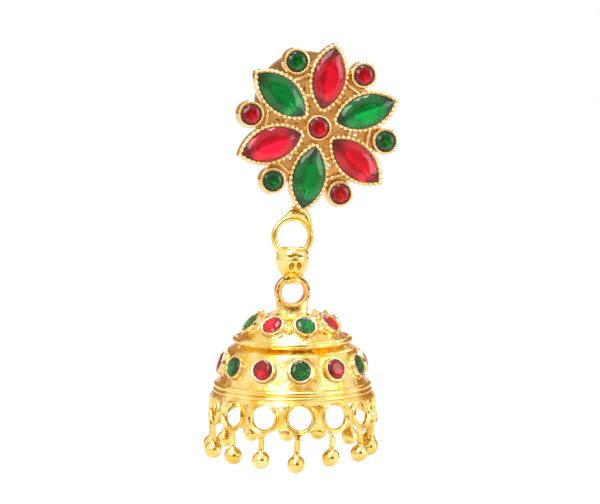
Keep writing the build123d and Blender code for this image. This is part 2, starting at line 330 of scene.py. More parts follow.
def marquise(half_length, half_width, grow, steps, first=0):
    """Points round a pointed oval moved out by grow, the first a share of a step past a tip.

    Each side is one arc, so an outline moved out keeps its sharp tips.
    """
    radius = (half_length ** 2 + half_width ** 2) / (2 * half_width)
    drop = radius - half_width
    radius += grow
    reach = math.acos(drop / radius)
    points = []
    for k in range(steps):
        share = (k + first) / steps
        side = 1 if share < 0.5 else -1
        a = reach * (1 - 4 * (share % 0.5)) * side
        points.append((radius * math.sin(a), side * (radius * math.cos(a) - drop)))
    return points


# ------------------------------------------------------------------ places


def standing(origin, x, z):
    """Matrix with its origin and its x and z directions."""
    z = Vector(z).normalized()
    x = Vector(x)
    x = (x - z * x.dot(z)).normalized()
    matrix = Matrix((x, z.cross(x), z)).transposed().to_4x4()
    matrix.translation = origin
    return matrix


def to_front(origin=(0, 0, 0)):
    """Matrix at a place with x to the right and z to the front."""
    return standing(origin, (1, 0, 0), (0, -1, 0))


def seat(node):
    """Where a stone sits: the middle of its flat back, with z pointing out of its bezel."""
    flats = {}
    for face in frame["nodes"][node].data.polygons:
        flats.setdefault(tuple(round(c, 2) for c in face.normal), []).append(face)
    back = max(flats.values(), key=lambda faces: sum(face.area for face in faces))
    area = sum(face.area for face in back)
    middle = sum((face.center * face.area for face in back), Vector()) / area / MM
    out = -back[0].normal
    level = Vector((0, 0, 1)).cross(out)
    return standing(middle, level, out)


def corners(node):
    """Lowest and highest corners of a node in millimetres."""
    low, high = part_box(node)
    return low / MM, high / MM


def flower_place():
    """Flower's own frame: its middle on the back, x along the first petal, z to the front."""
    low, high = corners("centre_stone")
    middle = Vector(((low.x + high.x) / 2, 0, (low.z + high.z) / 2))
    first = seat("petal_stone_1").translation - middle
    return standing(middle, (first.x, 0, first.z), (0, -1, 0))


def on_flower(node):
    """Stone's place in the flower's own frame, x pointing away from the flower's middle."""
    own = flower_place().inverted() @ seat(node).translation
    return standing(own, (own.x, own.y, 0), (0, 0, 1))


def names(stem):
    """Nodes whose names start so, in order."""
    return sorted(node for node in frame["nodes"] if node.startswith(stem))


def slot_of(node):
    parts = frame["record"]["subparts"]
    return next(part["material_slot"] for part in parts if part["node"] == node)


def row_of(stem):
    """Count, radius, height, tilt and first turn of a row of stones round the bell."""
    nodes = names(stem)
    place = seat(nodes[0])
    ray = place.translation - EYE
    out = place.col[2]
    tilt = math.atan2(out.z, math.hypot(out.x, out.y))
    turn = math.atan2(ray.x, -ray.y)
    return len(nodes), math.hypot(ray.x, ray.y), place.translation.z, tilt, turn


# ------------------------------------------------------------------- nodes


def add(tree, kind, links=None, **values):
    """One shader or geometry node, with its settings and what feeds it.

    A node that is given as a source feeds its first output in use.
    """
    node = tree.nodes.new(kind)
    for key, value in values.items():
        setattr(node, key, value)
    for socket, source in (links or {}).items():
        if isinstance(source, bpy.types.Node):
            source = next(output for output in source.outputs if output.enabled)
        if isinstance(source, bpy.types.NodeSocket):
            tree.links.new(source, node.inputs[socket])
        else:
            node.inputs[socket].default_value = source
    return node


def new_tree(name, inputs):
    """Empty geometry tree with a geometry input, named inputs and an output."""
    tree = bpy.data.node_groups.new(name, "GeometryNodeTree")
    tree.interface.new_socket("Geometry", in_out="INPUT", socket_type="NodeSocketGeometry")
    for label, kind in inputs.items():
        tree.interface.new_socket(label, in_out="INPUT", socket_type="NodeSocket" + kind)
    tree.interface.new_socket("Material", in_out="INPUT", socket_type="NodeSocketMaterial")
    tree.interface.new_socket("Geometry", in_out="OUTPUT", socket_type="NodeSocketGeometry")
    return tree, add(tree, "NodeGroupInput").outputs


def close_tree(tree, source, given):
    """Geometry tree ended: instances made real and the material set."""
    real = add(tree, "GeometryNodeRealizeInstances", {"Geometry": source})
    tinted = add(tree, "GeometryNodeSetMaterial", {"Geometry": real, "Material": given["Material"]})
    add(tree, "NodeGroupOutput", {"Geometry": tinted})
    return tree


def beads_tree():
    """Milgrain: one small ball every pitch along a curve."""
    tree, given = new_tree("milgrain", {"Bead Radius": "Float", "Bead Pitch": "Float"})
    spots = add(tree, "GeometryNodeResampleCurve", {
        "Curve": given["Geometry"],
        "Length": given["Bead Pitch"],
    }, mode="LENGTH")
    bead = add(tree, "GeometryNodeMeshIcoSphere", {"Radius": given["Bead Radius"], "Subdivisions": 2})
    smooth = add(tree, "GeometryNodeSetShadeSmooth", {"Geometry": bead})
    beads = add(tree, "GeometryNodeInstanceOnPoints", {"Points": spots, "Instance": smooth})
    return close_tree(tree, beads, given)


def round_row_tree():
    """Copies of one piece round an axis, each facing out and tilted up."""
    tree, given = new_tree("round_row", {
        "Count": "Int",
        "Radius": "Float",
        "Height": "Float",
        "Tilt": "Float",
        "First Turn": "Float",
    })
    step = add(tree, "ShaderNodeMath", {0: TURN, 1: given["Count"]}, operation="DIVIDE")
    index = add(tree, "GeometryNodeInputIndex")
    turn = {0: index, 1: step, 2: given["First Turn"]}
    turn = add(tree, "ShaderNodeMath", turn, operation="MULTIPLY_ADD")
    ahead = add(tree, "ShaderNodeMath", {0: given["Radius"], 1: -1.0}, operation="MULTIPLY")
    ahead = add(tree, "ShaderNodeCombineXYZ", {"Y": ahead, "Z": given["Height"]})
    spot = {"Vector": ahead, "Angle": turn}
    spot = add(tree, "ShaderNodeVectorRotate", spot, rotation_type="Z_AXIS")
    lean = add(tree, "ShaderNodeMath", {0: given["Tilt"], 1: -1.0}, operation="MULTIPLY")
    lean = add(tree, "ShaderNodeCombineXYZ", {"X": lean, "Z": turn})
    copies = add(tree, "GeometryNodeInstanceOnPoints", {
        "Points": add(tree, "GeometryNodePoints", {"Count": given["Count"], "Position": spot}),
        "Instance": given["Geometry"],
        "Rotation": add(tree, "FunctionNodeEulerToRotation", {"Euler": lean}),
    })
    return close_tree(tree, copies, given)


def turned_tree():
    """Wall turned on an axis from a closed outline of radius and depth below zero."""
    tree, given = new_tree("turned_wall", {"Steps": "Int"})
    path = {"Resolution": given["Steps"], "Radius": AXIS_SLACK * MM}
    path = add(tree, "GeometryNodeCurvePrimitiveCircle", path)
    wall = add(tree, "GeometryNodeCurveToMesh", {"Curve": path, "Profile Curve": given["Geometry"]})
    smooth = add(tree, "GeometryNodeSetShadeSmooth", {"Geometry": wall})
    return close_tree(tree, smooth, given)


def placed(name, data):
    """New scene object that holds a mesh, a curve, a lamp or a camera."""
    made = bpy.data.objects.new(name, data)
    bpy.context.scene.collection.objects.link(made)
    return made


def evaluated(holder):
    """New mesh of an object with its modifiers applied."""
    ready = holder.evaluated_get(bpy.context.evaluated_depsgraph_get())
    return bpy.data.meshes.new_from_object(ready)


def grown(carrier_data, tree, values, material_name):
    """Plain mesh that a geometry tree makes on a mesh or a curve."""
    carrier = placed("carrier", carrier_data)
    grower = carrier.modifiers.new("grow", "NODES")
    grower.node_group = tree
    values = {**values, "Material": material_for(material_name)}
    for socket in tree.interface.items_tree:
        if socket.in_out == "INPUT" and socket.name in values:
            grower[socket.identifier] = values[socket.name]
    mesh = evaluated(carrier)
    carrier.modifiers.remove(grower)
    bpy.data.objects.remove(carrier)
    mesh.materials.clear()
    mesh.materials.append(material_for(material_name))
    mesh.polygons.foreach_set("material_index", [0] * len(mesh.polygons))
    return mesh


def lines_curve(lines):
    """Curve data of closed lines through points in millimetres."""
    curve = bpy.data.curves.new("line", "CURVE")
    curve.dimensions = "3D"
    for points in lines:
        line = curve.splines.new("POLY")
        line.points.add(len(points) - 1)
        for spot, point in zip(line.points, points):
            spot.co = (*(c * MM for c in point), 1)
        line.use_cyclic_u = True
    return curve


def beaded(line, radius, pitch):
    """Mesh of milgrain along a closed line."""
    values = {"Bead Radius": radius * MM, "Bead Pitch": pitch * MM}
    return grown(lines_curve([line]), beads_tree(), values, "pale")


def round_row(mesh, row, material_name):
    """Mesh repeated round the Z axis from (count, radius, height, tilt, first turn)."""
    count, radius, height, tilt, turn = row
    return grown(mesh, round_row_tree(), {
        "Count": count,
        "Radius": radius * MM,
        "Height": height * MM,
        "Tilt": tilt,
        "First Turn": turn,
    }, material_name)


def taken(work):
    """Vertices and faces of a bmesh, which is freed."""
    work.verts.index_update()
    verts = [v.co.copy() for v in work.verts]
    faces = [tuple(v.index for v in face.verts) for face in work.faces]
    work.free()
    return verts, faces


def flat_piece(outlines, thick, bevel=0.0):
    """Flat piece from outlines, the first its edge and the rest its holes, its back at zero."""
    curve = lines_curve([[(x, y, 0) for x, y in outline] for outline in outlines])
    curve.dimensions = "2D"
    curve.fill_mode = "BOTH"
    curve.extrude = (thick / 2 - bevel) * MM
    curve.bevel_depth = bevel * MM
    curve.bevel_resolution = 2
    carrier = placed("carrier", curve)
    work = bmesh.new()
    work.from_mesh(evaluated(carrier))
    bpy.data.objects.remove(carrier)
    bmesh.ops.remove_doubles(work, verts=work.verts, dist=1e-7)
    verts, faces = taken(work)
    return [v / MM + Vector((0, 0, thick / 2)) for v in verts], faces


def joined(meshes):
    """One mesh out of several, their materials kept."""
    materials = []
    for mesh in meshes:
        materials += [own for own in mesh.materials if own not in materials]
    work = bmesh.new()
    for mesh in meshes:
        start = len(work.faces)
        work.from_mesh(mesh)
        work.faces.ensure_lookup_table()
        order = [materials.index(own) for own in mesh.materials]
        for k in range(start, len(work.faces)):
            work.faces[k].material_index = order[work.faces[k].material_index]
    whole = bpy.data.meshes.new("whole")
    work.to_mesh(whole)
    work.free()
    for own in materials:
        whole.materials.append(own)
    return whole


def moved(mesh, matrix):
    """Mesh moved by a matrix in millimetres."""
    shift = matrix.copy()
    shift.translation = matrix.translation * MM
    mesh.transform(shift)
    return mesh


def keep(mesh, name, body, slot, *nodes):
    """Puts a finished mesh in the scene as a piece that stands for those nodes."""
    piece = placed(name, mesh)
    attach(piece, body)
    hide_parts(*nodes)


# --------------------------------------------------------------- materials


def material(name):
    """New material, its empty tree and the place on the piece that patterns follow."""
    made = bpy.data.materials.new(name)
    made.use_nodes = True
    tree = made.node_tree
    tree.nodes.clear()
    return made, tree, add(tree, "ShaderNodeTexCoord").outputs["Object"]


def surfaced(made, tree, values):
    """Material ended by one shader with those values."""
    shader = add(tree, "ShaderNodeBsdfPrincipled", values)
    add(tree, "ShaderNodeOutputMaterial", {"Surface": shader})
    return made


def rgba(value):
    return (*value, 1.0)


def gold_plate(name, high, deep, roughness, grain_mm, grain_depth_mm):
    """Gold electroplate over cast brass, polished by tumbling.

    The eye sees mirror gold in two tones, scuffs that dull its gloss here and there, and the
    soft unevenness of the casting under it.
    """
    made, tree, where = material(name)
    patch, scuff, grain = (
        add(tree, "ShaderNodeTexNoise", {"Vector": where, "Scale": 1 / size / MM, "Detail": detail})
        for size, detail in ((1.8, 2.0), (0.6, 3.0), (grain_mm, 2.0))
    )
    share = add(tree, "ShaderNodeMapRange", {"Value": patch, "From Min": 0.35, "From Max": 0.65})
    tones = {"Factor": share, "A": rgba(high), "B": rgba(deep)}
    gloss = {"Value": scuff, "To Min": roughness * 0.6, "To Max": roughness * 1.4}
    bump = {"Height": grain, "Distance": grain_depth_mm * MM, "Strength": 1.0}
    return surfaced(made, tree, {
        "Base Color": add(tree, "ShaderNodeMix", tones, data_type="RGBA"),
        "Metallic": 1.0,
        "Roughness": add(tree, "ShaderNodeMapRange", gloss),
        "Normal": add(tree, "ShaderNodeBump", bump),
    })


def ear_back_metal(name, tint):
    """Nickel-free alloy of the push-on disc, its thin gilding painted a warm grey as painted shade, for the shade
    it lies in behind the flower.
    """
    made, tree, where = material(name)
    wear = {"Vector": where, "Scale": 1 / (1.2 * MM), "Detail": 4.0}
    gloss = {"Value": add(tree, "ShaderNodeTexNoise", wear), "To Min": 0.22, "To Max": 0.42}
    return surfaced(made, tree, {
        "Base Color": rgba(tint),
        "Metallic": 1.0,
        "Roughness": add(tree, "ShaderNodeMapRange", gloss),
    })


def tarnished_brass(name, dark, gilt):
    """Painted shade for grooves, dents and creases: brown and matt metal, with gilt showing."""
    made, tree, where = material(name)
    patch = {"Vector": where, "Scale": 1 / (0.5 * MM), "Detail": 2.0}
    tones = {"Factor": add(tree, "ShaderNodeTexNoise", patch), "A": rgba(dark), "B": rgba(gilt)}
    return surfaced(made, tree, {
        "Base Color": add(tree, "ShaderNodeMix", tones, data_type="RGBA"),
        "Metallic": 1.0,
        "Roughness": 0.5,
    })


def glass(name, tint):
    """Cut soda glass, moulded and polished: clear deep colour and crisp facets."""
    made, tree, _ = material(name)
    return surfaced(made, tree, {
        "Base Color": rgba(tint),
        "Roughness": 0.02,
        "IOR": 1.48,
        "Transmission Weight": 1.0,
    })


def foil(name, tint, roughness):
    """Foil lacquered on the back of a glass stone: a bright mirror under the colour."""
    made, tree, _ = material(name)
    return surfaced(made, tree, {"Base Color": rgba(tint), "Metallic": 1.0, "Roughness": roughness})


MATERIALS = {}


def material_for(name):
    """Material of that name, made the first time it is asked for."""
    if name not in MATERIALS:
        tints = bpy.context.scene.jhumka_colours
        make, *values = {
            "gold": (gold_plate, "polished_gold_plate", tints.gold, tints.gold_deep, 0.09, 0.9, 0.012),
            "cast": (gold_plate, "cast_gold_plate", tints.gold, tints.cast_deep, 0.18, 0.9, 0.1),
            "pale": (gold_plate, "pale_gold_plate", tints.pale, tints.pale_deep, 0.12, 0.5, 0.02),
            # Painted shade: darker, rougher gold for the recessed ground and the eye's proud ring.
            "ground": (gold_plate, "darkened_gold_plate", tints.shadow, tints.pale_deep, 0.42, 0.4, 0.04),
            # Painted shade for grooves, dents and creases.
            "tarnish": (tarnished_brass, "tarnished_brass", tints.tarnish, tints.cast_deep),
            # Painted shade: the ear back's warm grey.
            "back": (ear_back_metal, "worn_gilt_alloy", tints.back),
            "red_glass": (glass, "red_cut_glass", tints.red),
            "green_glass": (glass, "green_cut_glass", tints.green),
            "foil": (foil, "silver_foil", tints.foil, 0.3),
            "dull_foil": (foil, "tarnished_foil", tints.dull_foil, 0.4),
            "cap_foil": (foil, "brushed_foil", tints.cap_foil, 0.45),
        }[name]
        MATERIALS[name] = make(*values)
    return MATERIALS[name]


# ------------------------------------------------------------------ flower


class JHUMKA_OT_flower_frame(bpy.types.Operator):
    """Cast flower: pierced plate, beaded bezels, ear post and the loop below"""

    bl_idname = "jhumka.flower_frame"
    bl_label = "Flower frame"

    def execute(self, context):
        sizes = flower_sizes()
        whole = (6, 0, 0, 0, 0)
        petal, small = back_place("petal_stone_1"), back_place("round_stone_1")
        bezels = Shape().add(petal_bezel(sizes), petal)
        bezels.add(round_bezel(sizes.round_wall_r, sizes.round_rim, sizes.stone_r), small)
        # Each tie's distance from the flower's middle, half its length and its height.
        for distance, half, height in ((3.75, 0.7, 0.8), (5.95, 1.1, 0.88)):
            bezels.add(tie_bar(small.translation, distance, half, height))
        centre = round_bezel(sizes.centre_wall_r, sizes.round_rim, sizes.centre_stone_r)
        centre = Shape().add(centre, Matrix.Translation((0, 0, BACK_STEP)))
        plate = Shape().add(plate_piece(sizes, small.translation))
        # The pierced plate takes the painted shade of the recesses between the bezels.
        self.add_piece("plate", [plate.mesh(["ground"])])
        bezels = round_row(bezels.mesh(["pale"]), whole, "pale")
        self.add_piece("bezels", [bezels, centre.mesh(["pale"])])
        self.add_piece("milgrain", [
            round_row(petal_beads(sizes, petal), whole, "pale"),
            round_row(round_beads(sizes, small, 1.33), whole, "pale"),
            round_beads(sizes, Matrix(), 1.34),
        ])
        rest = Shape().add(*post_piece())
        for part in loop_parts(sizes):
            rest.add(*part)
        rest = rest.mesh(["gold", "pale", "cast"])
        keep(rest, "flower_post_and_loop", "stud", "gold_plate", "flower_frame")
        return {"FINISHED"}

    def add_piece(self, name, meshes):
        whole = moved(joined(meshes), flower_place())
        keep(whole, "flower_" + name, "stud", "gold_plate", "flower_frame")


def back_place(node):
    """Stone's place in the flower's own frame, brought down to the flower's back."""
    place = on_flower(node)
    place.translation.z = 0
    return place


def plate_piece(sizes, gap):
    """Disc between the petals, pierced by two small holes in each gap."""
    outlines = [circle(sizes.plate_r, 120)]
    for k in range(6):
        spin = Matrix.Rotation(math.atan2(gap.y, gap.x) + TURN * k / 6, 2)
        for near, near_half, far, far_half in ((2.2, 0.08, 2.65, 0.17), (4.25, 0.14, 4.85, 0.23)):
            hole = mirrored([(near, near_half), (far, far_half)])
            outlines.append([tuple(spin @ Vector(p)) for p in hole])
    lift = BACK_STEP * 3
    verts, faces = flat_piece(outlines, sizes.plate_thick - lift, 0.05)
    return [v + Vector((0, 0, lift)) for v in verts], faces


def petal_bezel(sizes):
    """Pointed cup for a stone: a wall round a floor, with a ledge for the beads."""
    wall, rim = sizes.petal_wall, sizes.petal_rim
    half = sizes.petal_half_length, sizes.petal_half_width
    profile = [(wall - 0.08, 0), (wall, 0.08), (wall, 0.9), (wall - 0.06, rim - 0.5)]
    profile += [(wall - 0.12, rim - 0.34), (wall - 0.2, rim - 0.28), (0.12, rim - 0.24)]
    profile += [(0.04, rim - 0.26), (0.02, rim - 0.4)]
    loops = [[(x, y, height) for x, y in marquise(*half, grow, 48)] for grow, height in profile]
    for share, height in ((0.99, 0.9), (0.8, 0.4), (0.5, 0.25)):
        loops.append([(x * share, y * share, height) for x, y in marquise(*half, 0, 48)])
    return skin(loops)


def petal_beads(sizes, place):
    """Milgrain on one pointed bezel."""
    half = sizes.petal_half_length, sizes.petal_half_width
    line = marquise(*half, sizes.petal_wall * 0.6, 96)
    points = [place @ Vector((x, y, sizes.petal_rim - 0.16)) for x, y in line]
    return beaded(points, sizes.bead_r, sizes.bead_pitch)


def round_bezel(outer, rim, stone_r):
    """Round cup for a stone: flared foot, straight wall and a rolled rim."""
    profile = [(0, BACK_STEP), (outer + 0.02, BACK_STEP), (outer + 0.08, 0.08)]
    profile += [(outer + 0.08, 0.5), (outer, 0.62)]
    profile += [(outer, rim - 0.2), (outer - 0.06, rim - 0.05), (outer - 0.17, rim)]
    profile += [(stone_r + 0.07, rim - 0.02), (stone_r + 0.03, rim - 0.12), (stone_r + 0.02, 0.8)]
    profile += [(0.6, 0.4), (0, 0.35)]
    return lathe(profile, 48)


def round_beads(sizes, place, radius):
    """Fine beads on a round bezel's rim."""
    points = [place @ Vector((x, y, sizes.round_rim - 0.02)) for x, y in circle(radius, 60)]
    return beaded(points, sizes.fine_bead_r, sizes.fine_bead_pitch)


def tie_bar(gap, distance, half_length, height):
    """Bar that ties two petals together across the gap between them."""
    along = Vector((gap.x, gap.y, 0)).normalized()
    across = Vector((-along.y, along.x, 0)) * half_length
    middle = along * distance + Vector((0, 0, height))
    return capsule(middle - across, middle + across, 0.2)


def post_piece():
    """Ear post with its solder collar, and where it stands."""
    tip = corners("flower_frame")[1].y
    profile = [(0, -0.3), (0.8, -0.3), (0.8, 0.12), (0.55, 0.3), (0.45, 0.5), (0.45, tip - 0.35)]
    profile += [(0.32, tip - 0.08), (0.2, tip), (0, tip)]
    return lathe(profile, 32), standing((0, 0, 0), (1, 0, 0), (0, 1, 0))


def loop_parts(sizes):
    """Loop under the lowest petal, with the fin and the web that join them.

    The fin and the web are told by how far they reach from the loop's middle at each turn.
    The last value of each part is its material's slot.
    """
    radius = sizes.loop_r
    place = to_front(LOOP_LOW + Vector((0, 0, radius)))
    fin = ((88, 3.4), (97, 3.22), (103, 2.98), (113, 2.76), (125, 2.58), (137, 2.42), (150, 2.3))
    web = ((14, 2.3), (22, 2.45), (32, 2.68), (42, 2.92), (53, 3.22), (62, 3.5), (76, 3.6), (92, 3.5))
    yield hoop(radius, 0, sizes.loop_wire, 96), place, 0
    yield loop_web(fin, radius, 0.18, 0.16), place, 1
    yield loop_web(web, radius, 0.42, 0), place, 2


def loop_web(reaches, radius, half_thick, lean):
    """Web on the loop's wire out to a reach at each turn, domed and leaning forwards."""
    loops = []
    for degrees, reach in reaches:
        a = math.radians(degrees)
        at_end = degrees in (reaches[0][0], reaches[-1][0])
        half = half_thick * (0.8 if at_end else 1.0)
        loop = []
        for flat, bulge in circle(1, 20):
            squared = math.copysign(abs(flat) ** 0.7, flat)
            r = (radius + reach) / 2 + (reach - radius) / 2 * squared
            loop.append((r * math.cos(a), r * math.sin(a), half * bulge + lean * (r - radius)))
        loops.append(loop)
    return skin(loops)


class JHUMKA_OT_ear_back(bpy.types.Operator):
    """Push-on comfort disc with its hub"""

    bl_idname = "jhumka.ear_back"
    bl_label = "Ear back"

    def execute(self, context):
        low, high = corners("ear_back")
        radius = (high.x - low.x) / 2
        long = high.y - low.y
        profile = [(0.52, 0), (radius - 0.35, 0.06), (radius - 0.08, 0.14), (radius, 0.3)]
        profile += [(radius - 0.08, 0.46), (radius - 0.35, 0.56), (2.1, 0.56), (1.7, 0.66)]
        profile += [(1.5, 0.9), (1.5, 1.35), (1.32, 1.5), (1.32, 1.95), (1.5, 2.1)]
        profile += [(1.5, long - 0.25), (1.38, long - 0.06), (1.2, long), (0.52, long)]
        place = standing((0, low.y, 0), (1, 0, 0), (0, 1, 0))
        disc = Shape().add(lathe(profile, 96, closed=True), place)
        keep(disc.mesh(["back"]), "ear_back_disc", "stud", "ear_back_metal", "ear_back")
        return {"FINISHED"}


# ------------------------------------------------------------------ stones


class JHUMKA_OT_stones(bpy.types.Operator):
    """Faceted glass stones on foil, each in its bezel"""

    bl_idname = "jhumka.stones"
    bl_label = "Stones"

    def execute(self, context):
        sizes = flower_sizes()
        petal = (sizes.petal_half_length, sizes.petal_half_width)
        small = (sizes.stone_r, sizes.stone_r)
        centre = (sizes.centre_stone_r, sizes.centre_stone_r)
        # Names, body, half sizes, facets round, crown, pavilion and foil of each kind of stone.
        for stem, body, half, facets, crown, pavilion, backing in (
            ("petal_stone", "stud", petal, 16, 0.4, 0.65, "foil"),
            ("round_stone", "stud", small, 12, 0.26, 0.4, "dull_foil"),
            ("centre_stone", "stud", centre, 12, 0.26, 0.4, "dull_foil"),
            ("cap_stone", "bell", small, 12, 0.2, 0.35, "cap_foil"),
            ("band_stone", "bell", small, 12, 0.2, 0.35, "dull_foil"),
        ):
            for node in names(stem):
                place = flower_place() @ on_flower(node) if half == petal else seat(node)
                shape = cut_stone(half, facets, crown, pavilion, place)
                slot = slot_of(node)
                keep(shape.mesh([slot, backing], 0), node + "_cut", body, slot, node)
        return {"FINISHED"}


def cut_stone(half, facets, crown, pavilion, place):
    """Foiled stone: clear table and crown, with a mirrored girdle and pavilion behind."""
    pointed = half[0] > half[1]
    girdle = 0.1
    n = facets

    def ring(share, height, first):
        edge = marquise(*half, 0, n, first) if pointed else circle(half[0], n, first)
        return [(x * share, y * share, height + STONE_SEAT) for x, y in edge]

    verts = ring(1, 0, 0) + ring(0.83, crown * 0.55, 0.5) + ring(0.58, crown, 0) + ring(1, -girdle, 0)
    keel = half[0] * 0.4
    deep = STONE_SEAT - girdle - pavilion
    verts += [(keel, 0, deep), (-keel, 0, deep)] if pointed else [(0, 0, deep)]
    front, behind = [], []
    for k in range(n):
        m = (k + 1) % n
        front += [(k, m, n + k), (m, n + m, n + k)]
        front += [(n + k, n + m, 2 * n + m), (n + k, 2 * n + m, 2 * n + k)]
        low, low_next = 3 * n + k, 3 * n + m
        ends = [4 * n + (pointed and verts[spot][0] < -1e-6) for spot in (k, m)]
        behind += [(m, k, low, low_next), tuple(dict.fromkeys((low_next, low, *ends)))]
    front.append(tuple(range(2 * n, 3 * n)))
    shape = Shape().add((verts, front + behind), place)
    shape.tags = [0] * len(front) + [1] * len(behind)
    return shape


# -------------------------------------------------------------------- link


class JHUMKA_OT_link(bpy.types.Operator):
    """Bucket-shaped link with its strap round the bell's eye"""

    bl_idname = "jhumka.link"
    bl_label = "Connector link"

    def execute(self, context):
        keep(link_mesh(), "link_gold", "link", "gold_plate", "connector_link")
        return {"FINISHED"}


def link_mesh():
    """Link turned from its outline, then cut for the loop and the eye."""
    sizes = flower_sizes()
    profile = [(0, 0.92), (1.3, 0.92), (1.56, 0.82), (1.78, 0.6), (1.91, 0.3), (1.92, 0.02)]
    profile += [(1.85, -0.02), (1.85, -0.16), (1.93, -0.2), (1.95, -0.42)]
    profile += [(1.93, -0.6), (1.87, -0.8), (1.81, -1.1), (1.7, -1.45), (1.54, -1.8)]
    profile += [(1.4, -2.04), (1.2, -2.26), (1.08, -2.5), (0, -2.5)]
    hang = Matrix.Translation(LOOP_LOW)
    base = solid(Shape().add(lathe(rounded(profile, 0.4, 1), 96), hang))
    carve(base, Shape().add(skin(strap_loops(0.3, 30)), to_front(EYE)), "UNION")
    eye_room = Shape().add(lathe(eye_section(0.1), 96, closed=True), to_front(EYE))
    loop_room = hoop(sizes.loop_r, 0, sizes.loop_wire + 0.17, 96)
    loop_room = Shape().add(loop_room, to_front(LOOP_LOW + Vector((0, 0, sizes.loop_r))))
    pockets = Shape()
    for side in (-1, 1):
        edge = mirrored([(side * 0.62, 0.5), (side * 2.4, 1.12)])
        pockets.add(skin([[(x, y, z) for x, y in edge] for z in (-0.5, 2.5)]), hang)
    places = dent_places()
    dents = Shape()
    for place, radii in places:
        dents.add(ball(radii), place)
    for cutter in (eye_room, loop_room, pockets, dents):
        carve(base, cutter, "DIFFERENCE")
    for face in base.data.polygons:
        on_strap = face.center.z < LOOP_LOW.z - STRAP_TOP
        in_dent = any(in_ball(face.center, *dent) for dent in places)
        # Faces in the dents take painted shade, the strap takes the cast plate and the rest takes plain gold.
        face.material_index = 2 if on_strap else in_dent
    return finished(base, ["gold", "tarnish", "cast"])


def eye_section(gap):
    """Section of the eye's ring, a gap larger all round."""
    inner, outer, half = EYE_INNER - gap, EYE_OUTER + gap, EYE_HALF_DEPTH + gap
    return mirrored([(inner, -half), (outer, -half)])


def dent_places():
    """Stamped marks on the link's front and back: two flat ones over two leaning drops."""
    places = []
    for front, side in ((-1, -1), (-1, 1), (1, -1), (1, 1)):
        for x, y, z, lean, radii in (
            (0.54, 1.8, 0.1, 14, (0.44, 0.26, 0.17)),
            (0.43, 1.74, -1.04, -16, (0.27, 0.3, 0.5)),
        ):
            spot = LOOP_LOW + Vector((side * x, front * y, z))
            turn = Matrix.Rotation(math.radians(lean * side), 4, "Y")
            places.append((Matrix.Translation(spot) @ turn, radii))
    return places


def in_ball(point, place, radii):
    """Whether a point lies in an egg of those half sizes, its skin counted in."""
    own = place.inverted() @ point
    return sum((c / r) ** 2 for c, r in zip(own, radii)) < 1.05


def strap_loops(wall, half_deg):
    """Sections of a strap round the top of the eye, inside and out."""
    section = rounded(eye_section(wall), 0.4, 2, closed=True)
    loops = []
    steps = 12
    for k in range(steps + 1):
        a = math.pi / 2 + math.radians(half_deg) * (1 - 2 * k / steps)
        loops.append([(r * math.cos(a), r * math.sin(a), y) for r, y in section])
    return loops


def solid(shape):
    """Shape as a scene object, in millimetres, so that carving keeps its precision."""
    mesh = bpy.data.meshes.new("solid")
    mesh.from_pydata(shape.verts, [], shape.faces)
    outward(mesh)
    return placed("solid", mesh)


def carve(base, shape, operation):
    """Joins or cuts a shape into the base."""
    tool = solid(shape)
    cut = base.modifiers.new("carve", "BOOLEAN")
    cut.operation = operation
    cut.object = tool
    cut.solver = "EXACT"
    mesh = evaluated(base)
    base.modifiers.remove(cut)
    bpy.data.objects.remove(tool)
    base.data = mesh


def finished(base, slots):
    """Mesh in metres of a carved solid, which leaves the scene."""
    mesh = base.data.copy()
    bpy.data.objects.remove(base)
    for name in slots:
        mesh.materials.append(material_for(name))
    mesh.transform(Matrix.Scale(MM, 4))
    shade(mesh, 40)
    return mesh


# -------------------------------------------------------------------- bell


class JHUMKA_OT_bell(bpy.types.Operator):
    """Two-tier bell with its hoops, collars, pedestal and eye"""

    bl_idname = "jhumka.bell"
    bl_label = "Bell"

    def execute(self, context):
        sizes = bell_sizes()
        trim = Shape()
        # Radius, height and wire radius of the ledge's hoop and of the rim's two.
        for hoop_sizes in ((6.5, -26.45, 0.37), (8.65, -31.55, 0.37), (8.8, -32.15, 0.31)):
            trim.add(hoop(*hoop_sizes))
        pedestal = [(0, -24.2), (2.2, -24.2), (2.15, -23.95), (1.95, -23.75), (1.85, -23.55)]
        pedestal += [(1.7, -23.45), (0, -23.45)]
        trim.add(lathe(rounded(pedestal, 0.4, 1), 64))
        eye = Shape()
        for slot, ring in enumerate(eye_rings()):
            eye.add(ring, to_front(EYE), slot)
        self.add_piece("wall", bell_wall(sizes))
        trim = moved(trim.mesh(["gold"]), BELL_AXIS)
        # The eye's proud ring takes painted shade in a darker gold, its flange the cast plate, and the dark line
        # between them painted shade.
        trim = joined([trim, eye.mesh(["ground", "cast", "tarnish"]), neck_mesh()])
        keep(trim, "bell_trim", "bell", "gold_plate", "bell_dome")
        collars = []
        for stem, depth in (("cap_stone", 1.0), ("band_stone", 0.75)):
            # A thin dark hoop round each collar's foot: painted shade in the crease.
            line = hoop(sizes.collar_r, -0.1, 0.045, 40)
            for part, slot in ((collar_piece(sizes, depth), "pale"), (line, "tarnish")):
                mesh = Shape().add(part, to_front()).mesh([slot])
                collars.append(round_row(mesh, row_of(stem), slot))
        count, _, _, _, turn = row_of("cap_stone")
        grain = Shape().add(ball((0.36, 0.36, 0.36), 20, 10)).mesh(["gold"])
        between = turn + TURN / count / 2
        collars.append(round_row(grain, (count, 4.95, -25.0, 0, between), "gold"))
        self.add_piece("collars", joined(collars))
        return {"FINISHED"}

    def add_piece(self, name, mesh):
        keep(moved(mesh, BELL_AXIS), "bell_" + name, "bell", "gold_plate", "bell_dome")


